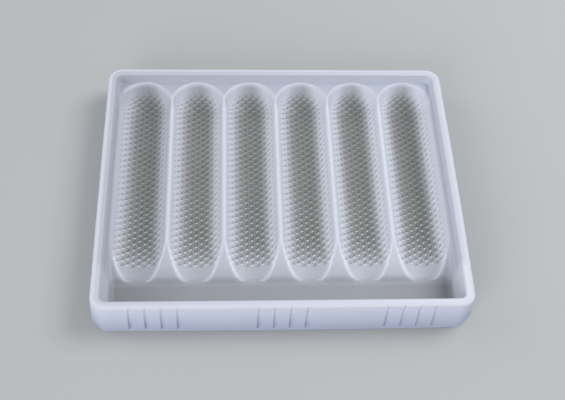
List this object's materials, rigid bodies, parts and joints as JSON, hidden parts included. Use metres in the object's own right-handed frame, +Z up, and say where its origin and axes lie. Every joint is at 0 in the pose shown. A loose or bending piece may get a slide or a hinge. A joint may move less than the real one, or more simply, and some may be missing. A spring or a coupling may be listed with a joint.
{
  "type": "thermoformed food tray",
  "caption": "Shallow rectangular formed plastic tray with long half-round troughs, an open gutter along one side and a fluted outer skirt.",
  "frame": {"origin": "on the table under the middle of the tray", "axes": "+X along the row of troughs, +Y from the gutter to the troughs' closed ends, +Z up"},
  "size_m": [0.205, 0.169, 0.021],
  "materials": {
    "formed_sheet": "glossy"
  },
  "bodies": {
    "root": {"tray": "formed_sheet"}
  },
  "joints": []
}
